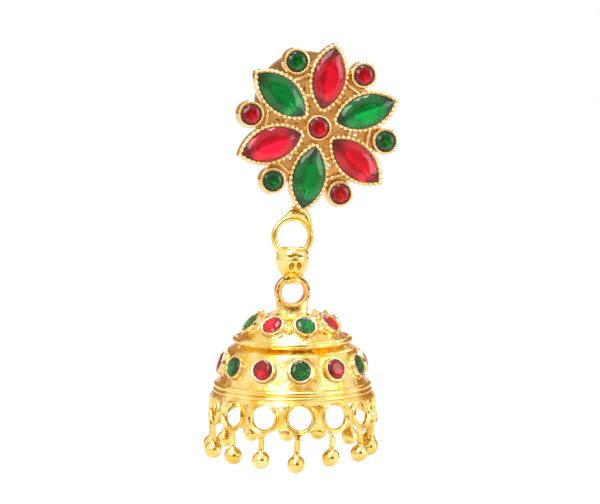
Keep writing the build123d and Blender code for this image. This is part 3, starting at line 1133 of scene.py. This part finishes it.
def bell_wall(sizes):
    """Thin wall of the cap and the band, turned on the bell's axis."""
    cap = [(2.2, -23.72), (3.2, -23.85), (4.47, -24.78), (5.6, -25.75), (6.3, -26.35)]
    shelf = [(6.35, -26.85), (6.6, -27.1), (7.15, -27.35), (7.42, -27.55)]
    band = [(7.6, -28.2), (7.8, -29.1), (8.2, -30.4), (8.55, -31.35)]
    outer = rounded(cap + shelf + band, 0.4, 2)
    inner = [(r - sizes.wall * 0.8, z - sizes.wall * 0.5) for r, z in reversed(outer)]
    outline = [(0.3, -23.7), *outer, *inner, (0.3, -23.7 - sizes.wall)]
    profile = lines_curve([[(r - AXIS_SLACK, -z, 0) for r, z in outline]])
    mesh = grown(profile, turned_tree(), {"Steps": 160}, "cast")
    outward(mesh)
    shade(mesh, 50)
    return mesh


def eye_rings():
    """Proud inner ring, the wider flange round it and a dark line of painted shade between them."""
    inner, outer, half = EYE_INNER, EYE_OUTER, EYE_HALF_DEPTH
    step = 1.7
    proud = [(inner, half - 0.14), (inner + 0.06, half - 0.05), (inner + 0.14, half)]
    proud += [(step - 0.1, half), (step - 0.03, half - 0.05), (step, half - 0.14)]
    proud += [(step, 0.1 - half), (inner + 0.05, 0.04 - half), (inner, 0.1 - half)]
    flange = [(step - 0.2, half - 0.4), (step + 0.03, half - 0.38), (step + 0.08, half - 0.3)]
    flange += [(outer - 0.08, half - 0.3), (outer, half - 0.4), (outer, 0.14 - half)]
    flange += [(outer - 0.12, 0.02 - half), (outer - 0.2, -half), (step - 0.2, -half)]
    line = hoop(step + 0.03, half - 0.37, 0.045, 96)
    return lathe(proud, 96, closed=True), lathe(flange, 96, closed=True), line


def neck_mesh():
    """Neck bored through where the ring is open."""
    neck = solid(Shape().add(skin(eye_neck())))
    bore = lathe(mirrored([(0, -2), (EYE_INNER + 0.2, -2)]), 96)
    carve(neck, Shape().add(bore, to_front(EYE)), "DIFFERENCE")
    return finished(neck, ["cast"])


def eye_neck():
    """Block behind the ring's lower half, down to the top of the bell."""
    loops = []
    # How far below the eye's middle, half the width and half the depth.
    for down, half, deep in (
        (0.3, 1.9, 0.55), (1.0, 1.86, 0.6), (2.0, 1.76, 0.72), (2.6, 1.74, 0.9), (3.0, 1.8, 1.2),
    ):
        edge = rounded(mirrored([(half, deep), (-half, deep)]), 0.5, 3, closed=True)
        loops.append([(EYE.x + x, EYE.y + y, EYE.z - down) for x, y in edge])
    return loops


def collar_piece(sizes, depth):
    """Raised collar round a stone, standing on its seat: rolled rim over a stepped foot."""
    outer = sizes.collar_r
    rim = STONE_SEAT
    profile = [(0, rim - depth), (outer + 0.2, rim - depth), (outer + 0.2, -0.22)]
    profile += [(outer + 0.16, -0.12), (outer + 0.08, -0.08), (outer - 0.02, -0.12)]
    profile += [(outer - 0.04, -0.02), (outer, rim - 0.12), (outer - 0.04, rim - 0.02)]
    profile += [(outer - 0.1, rim + 0.01), (1.2, rim), (1.14, rim - 0.05)]
    profile += [(1.12, 0.0), (0.6, -0.35), (0, -0.4)]
    return lathe(profile, 40)


# ------------------------------------------------------------------ fringe


class JHUMKA_OT_fringe(bpy.types.Operator):
    """Strip of joined rings under the rim"""

    bl_idname = "jhumka.fringe"
    bl_label = "Fringe"

    def execute(self, context):
        sizes = bell_sizes()
        row = (sizes.rings, 0, corners("fringe")[1].z - RING_DROP, 0, first_drop_turn())
        mesh = joined([
            round_row(Shape().add(part(sizes)).mesh([slot], smooth_deg), row, slot)
            for part, slot, smooth_deg in (
                (fringe_ring, "gold", 50), (fringe_web, "cast", 50), (ring_groove, "tarnish", 40),
            )
        ])
        keep(moved(mesh, BELL_AXIS), "fringe_rings", "bell", "gold_plate", "fringe")
        return {"FINISHED"}


def first_drop_turn():
    """Turn of the first drop's foot round the bell's axis."""
    ray = drop_foot("ball_drop_01") - EYE
    return math.atan2(ray.x, -ray.y)


def drop_foot(node):
    """Middle of the flat top of a drop."""
    top = corners(node)[1].z
    rim = [v for v in points_of(node) if v.z > top - 0.01]
    x = (min(v.x for v in rim) + max(v.x for v in rim)) / 2
    y = (min(v.y for v in rim) + max(v.y for v in rim)) / 2
    return Vector((x, y, top))


def points_of(node):
    """Node's vertices in millimetres."""
    return [v.co / MM for v in frame["nodes"][node].data.vertices]


def bent(sizes, u, z, out):
    """Point of the strip bent round the bell: along it, up it, and out of it.

    The strip flares towards its bottom, and its top is tucked in behind the rim.
    """
    a = u / sizes.fringe_r
    r = sizes.fringe_r + out - z * sizes.flare - 0.5 * max(0, z - TUCK_FROM)
    return (r * math.sin(a), -r * math.cos(a), z)


def fringe_ring(sizes):
    """Ring of two soldered wires round a hole, flattened where it meets the rim."""
    inner, outer = sizes.hole_r, sizes.ring_r
    middle = (inner + outer) / 2
    face = [(inner, 0.1), (inner + 0.04, 0.24), (inner + 0.12, 0.32), (middle - 0.05, 0.27)]
    face += [(middle, 0.18), (middle + 0.05, 0.27), (outer - 0.12, 0.32), (outer - 0.04, 0.24)]
    face += [(outer, 0.1)]
    return bent_hoop(sizes, mirrored(face))


def ring_groove(sizes):
    """Dark line of painted shade at the bottom of the groove between a ring's two wires, front and back."""
    middle = (sizes.hole_r + sizes.ring_r) / 2
    wide, deep = 0.035, 0.215
    return bent_hoop(sizes, mirrored([(middle - wide, -deep), (middle + wide, -deep)]))


def bent_hoop(sizes, section):
    """Hoop of a closed (radius, out) section, bent round the bell and cut flat at the rim."""
    loops = []
    for x, y in circle(1, 56):
        loops.append([bent(sizes, r * x, min(r * y, FRINGE_TOP), out) for r, out in section])
    return skin(loops, closed=True)


def fringe_web(sizes):
    """Web between one ring and the next, with a small corner hole under the rim."""
    top = FRINGE_TOP
    pitch = TURN * sizes.fringe_r / sizes.rings
    reach = (sizes.hole_r + sizes.ring_r) / 2
    half = 0.09
    low = 1.42
    steps = 20
    turns = [math.pi / 2 - math.pi * k / steps for k in range(steps + 1)]
    side = [(reach * math.cos(a), reach * math.sin(a)) for a in turns]
    shares = [k / 12 for k in range(1, 12)]
    outline = [(0, top), *side]
    outline += [(pitch * share, -low - 0.1 * math.cos(TURN * share)) for share in shares]
    outline += [(pitch - x, y) for x, y in reversed(side)] + [(pitch, top)]
    hole = [(pitch / 2 - 0.42, top - 0.4), (pitch / 2 + 0.42, top - 0.4), (pitch / 2, top - 1.3)]
    verts, faces = flat_piece([outline, rounded(hole, 0.4, 1, closed=True)], 2 * half)
    work = bmesh.new()
    spots = [work.verts.new(v) for v in verts]
    for face in faces:
        work.faces.new([spots[k] for k in face])
    slices = 16
    for k in range(1, slices):
        parts = [*work.verts, *work.edges, *work.faces]
        bmesh.ops.bisect_plane(work, geom=parts, plane_co=(pitch * k / slices, 0, 0),
                               plane_no=(1, 0, 0), dist=1e-5)
    upright = 1.35 * sizes.flare
    verts, faces = taken(work)
    return [bent(sizes, x, y, z - half + y * upright) for x, y, z in verts], faces


class JHUMKA_OT_drops(bpy.types.Operator):
    """Stem and ball under each ring, as far as its node leans"""

    bl_idname = "jhumka.drops"
    bl_label = "Ball drops"

    def execute(self, context):
        radius = bell_sizes().ball_r
        for node in names("ball_drop"):
            shape = Shape().add(drop_piece(node, radius))
            keep(shape.mesh(["gold"], 50), node + "_gold", "bell", "gold_plate", node)
        return {"FINISHED"}


def drop_piece(node, radius):
    """Flared foot, a straight stem and the ball, in one turned skin."""
    foot = drop_foot(node)
    lowest = min(points_of(node), key=lambda v: v.z)
    middle = Vector((lowest.x, lowest.y, lowest.z + radius))
    out = Vector((foot.x - EYE.x, foot.y - EYE.y, 0)).normalized()
    across = out.cross(Vector((0, 0, 1)))
    # The foot takes up some of the lean, so that the stem can stay straight.
    foot += (middle - foot).xy.to_3d() * 0.6
    start = foot + Vector((0, 0, -0.3))
    along = (middle - start).normalized()
    rows = []
    for down, wide, thick in ((-0.2, 0.8, 0.2), (0, 0.6, 0.24), (0.15, 0.45, 0.28), (0.3, 0.37, 0.33)):
        rows.append((foot - Vector((0, 0, down)), wide, thick))
    for share, wide in ((0.1, 0.34), (0.25, 0.33), (0.45, 0.32), (0.56, 0.34), (0.62, 0.38)):
        rows.append((start.lerp(middle, share), wide, wide))
    steps = 18
    for k in range(steps + 1):
        a = math.pi * (0.15 + 0.848 * k / steps)
        wide = radius * math.sin(a)
        rows.append((middle - along * radius * math.cos(a), wide, wide))
    round_it = circle(1, 32)
    return skin([[point + across * wide * x + out * thick * y for x, y in round_it]
                 for point, wide, thick in rows])


# ------------------------------------------------------------------- stage


class JHUMKA_OT_stage(bpy.types.Operator):
    """Floor, soft lights, world and camera"""

    bl_idname = "jhumka.stage"
    bl_label = "Stage"

    def execute(self, context):
        context.scene.view_settings.view_transform = "Standard"
        low, high = CAD_BOX
        middle = (low + high) / 2
        make_floor(low.z - 0.012)
        make_world(context.scene)
        make_lights(middle)
        make_camera(middle)
        return {"FINISHED"}


def make_floor(height):
    """Pale floor a little below the drops, reaching far behind."""
    side, front, rear = 1.5, -0.18, 1.5
    verts = [(x, y, height) for x, y in ((-side, front), (side, front), (side, rear), (-side, rear))]
    mesh = bpy.data.meshes.new("floor")
    mesh.from_pydata(verts, [], [(0, 1, 2, 3)])
    mesh.materials.append(floor_paper())
    floor = placed("floor", mesh)


def floor_paper():
    """Matt white background paper, near white to the eye and keeping a soft shadow.

    It glows for rays from the camera, off metal and through glass: less near the drops, where
    the shadow lies, and less in front, for all but the camera.
    """
    made, tree, where = material("white_paper")
    tint = rgba(bpy.context.scene.jhumka_colours.floor)
    away = add(tree, "ShaderNodeVectorMath", {0: where}, operation="LENGTH")
    depth = add(tree, "ShaderNodeSeparateXYZ", {0: where}).outputs["Y"]
    away, depth = (
        add(tree, "ShaderNodeMapRange", {
            "Value": value, "From Min": low, "From Max": high, "To Min": least,
        }, interpolation_type="SMOOTHSTEP")
        for value, low, high, least in ((away, 0.07, 0.17, 0.6), (depth, -0.12, 0.0, 0.25))
    )
    path = add(tree, "ShaderNodeLightPath").outputs
    share = path["Is Camera Ray"]
    rear = add(tree, "ShaderNodeMath", {0: share, 1: depth}, operation="MAXIMUM")
    for operation, source in (
        ("MAXIMUM", path["Is Glossy Ray"]),
        ("MAXIMUM", path["Is Transmission Ray"]),
        ("MULTIPLY", rear),
        ("MULTIPLY", away),
    ):
        share = add(tree, "ShaderNodeMath", {0: share, 1: source}, operation=operation)
    paper = add(tree, "ShaderNodeBsdfDiffuse", {"Color": tint})
    white = add(tree, "ShaderNodeEmission", {"Color": WHITE, "Strength": 1.0})
    both = add(tree, "ShaderNodeMixShader", {0: share, 1: paper, 2: white})
    add(tree, "ShaderNodeOutputMaterial", {"Surface": both})
    return made


def make_world(scene):
    """White tent, bright above and darker behind, with an opening beside the lens."""
    world = bpy.data.worlds.new("surround")
    scene.world = world
    world.use_nodes = True
    tree = world.node_tree
    tree.nodes.clear()
    way = add(tree, "ShaderNodeTexCoord").outputs["Generated"]
    height = add(tree, "ShaderNodeSeparateXYZ", {0: way}).outputs["Z"]
    level = add(tree, "ShaderNodeMath", {0: height, 1: 0.03}, operation="SUBTRACT")
    level = add(tree, "ShaderNodeMath", {0: level}, operation="ABSOLUTE")
    ahead, gap = (
        add(tree, "ShaderNodeVectorMath", {0: way, 1: direction(*turned)}, operation="DOT_PRODUCT")
        for turned in ((CAMERA_TURN_DEG, 0.1), (OPENING_TURN_DEG, 0.176))
    )
    far, near, inside = (math.cos(math.radians(degrees)) for degrees in (34, 18, 12))
    sky, opening, slit, lens_side, behind, under, backdrop, dim = (
        add(tree, "ShaderNodeMapRange", {
            "Value": value, "From Min": low, "From Max": high, "To Min": at_low, "To Max": at_high,
        }, interpolation_type="SMOOTHSTEP")
        for value, low, high, at_low, at_high in (
            (height, -0.1, 0.12, 0.72, 1.1),  # brighter above the skyline
            (gap, near, inside, 1.0, 0.2),  # the opening
            (level, 0.02, 0.06, 0.4, 1.0),  # a dim slit along the skyline
            (ahead, 0.3, 0.8, 0.0, 1.0),  # the slit shows on the lens's side only
            (ahead, -0.25, -0.6, 0.0, 1.0),  # darker behind
            (height, 0.75, 0.45, 0.0, 1.0),  # but not overhead
            (ahead, -0.95, -0.98, 1.0, 0.0),  # nor straight behind, away from the lens
            (gap, far, near, 0.0, 1.0),  # a warm tone round the opening
        )
    )
    slit = add(tree, "ShaderNodeMix", {"Factor": lens_side, "A": 1.0, "B": slit}, data_type="FLOAT")
    tent, dark = sky, behind
    for source in (opening, slit):
        tent = add(tree, "ShaderNodeMath", {0: tent, 1: source}, operation="MULTIPLY")
    for source in (under, backdrop):
        dark = add(tree, "ShaderNodeMath", {0: dark, 1: source}, operation="MULTIPLY")
    straight = add(tree, "ShaderNodeLightPath").outputs["Is Camera Ray"]
    tone = WHITE
    for share, tint in ((dark, (0.5, 0.26, 0.12, 1)), (dim, (0.86, 0.68, 0.5, 1)), (straight, WHITE)):
        tone = add(tree, "ShaderNodeMix", {"Factor": share, "A": tone, "B": tint}, data_type="RGBA")
    tent = add(tree, "ShaderNodeMix", {"Factor": straight, "A": tent, "B": 1.0}, data_type="FLOAT")
    surround = add(tree, "ShaderNodeBackground", {"Color": tone, "Strength": tent})
    add(tree, "ShaderNodeOutputWorld", {"Surface": surround})


def direction(turn_deg, rise):
    """Way out from the middle at a turn round the object and a rise."""
    turn = math.radians(turn_deg)
    return Vector((math.sin(turn), -math.cos(turn), rise)).normalized()


def aimed(name, data, spot, target):
    """Lamp or camera at a spot, looking at a target."""
    holder = placed(name, data)
    holder.location = spot
    holder.rotation_mode = "QUATERNION"
    holder.rotation_quaternion = (spot - target).to_track_quat("Z", "Y")
    return holder


def make_lights(middle):
    """Large soft lamps: key above left, fill at right, one behind and one overhead."""
    # Name, offset from the middle and side in metres, watts.
    for name, offset, size, watts in (
        ("key", (-0.26, -0.34, 0.32), 0.26, 1.1),
        ("fill", (0.36, -0.26, 0.08), 0.22, 0.45),
        ("back", (0.15, 0.34, 0.3), 0.25, 0.5),
        ("top", (-0.04, -0.04, 0.38), 0.2, 1.3),
    ):
        lamp = bpy.data.lights.new(name, "AREA")
        lamp.shape = "SQUARE"
        lamp.size = size
        lamp.energy = watts
        aimed(name, lamp, middle + Vector(offset), middle)


def make_camera(middle):
    """Camera a little left of the flower's front and a little above the ear post."""
    spot = direction(CAMERA_TURN_DEG, 0) * CAMERA_DISTANCE
    spot.z = CAMERA_HEIGHT
    camera = bpy.data.cameras.new("camera")
    camera.lens = 140
    camera.clip_start = 0.01
    camera.clip_end = 10
    bpy.context.scene.camera = aimed("camera", camera, spot, middle)


# ------------------------------------------------------------------ add-on


class JHUMKA_PT_panel(bpy.types.Panel):
    """Lists the earring's pieces and their settings"""

    bl_idname = "JHUMKA_PT_panel"
    bl_label = "Jhumka earring"
    bl_space_type = "VIEW_3D"
    bl_region_type = "UI"
    bl_category = "Jhumka"

    def draw(self, context):
        layout = self.layout
        for operator in OPERATORS:
            layout.operator(operator.bl_idname)
        for group, held in GROUPS.items():
            box = layout.box()
            for key in group.__annotations__:
                box.prop(getattr(context.scene, held), key)


OPERATORS = (
    JHUMKA_OT_stage,
    JHUMKA_OT_flower_frame,
    JHUMKA_OT_ear_back,
    JHUMKA_OT_stones,
    JHUMKA_OT_link,
    JHUMKA_OT_bell,
    JHUMKA_OT_fringe,
    JHUMKA_OT_drops,
)
GROUPS = {
    JhumkaFlower: "jhumka_flower",
    JhumkaBell: "jhumka_bell",
    JhumkaColours: "jhumka_colours",
}


def register():
    for group, name in GROUPS.items():
        bpy.utils.register_class(group)
        setattr(bpy.types.Scene, name, bpy.props.PointerProperty(type=group))
    for operator in OPERATORS:
        bpy.utils.register_class(operator)
    bpy.utils.register_class(JHUMKA_PT_panel)


def unregister():
    bpy.utils.unregister_class(JHUMKA_PT_panel)
    for operator in reversed(OPERATORS):
        bpy.utils.unregister_class(operator)
    for group, name in GROUPS.items():
        delattr(bpy.types.Scene, name)
        bpy.utils.unregister_class(group)


def main():
    register()
    for operator in OPERATORS:
        group, call = operator.bl_idname.split(".")
        getattr(getattr(bpy.ops, group), call)()


if __name__ == "__main__":
    main()
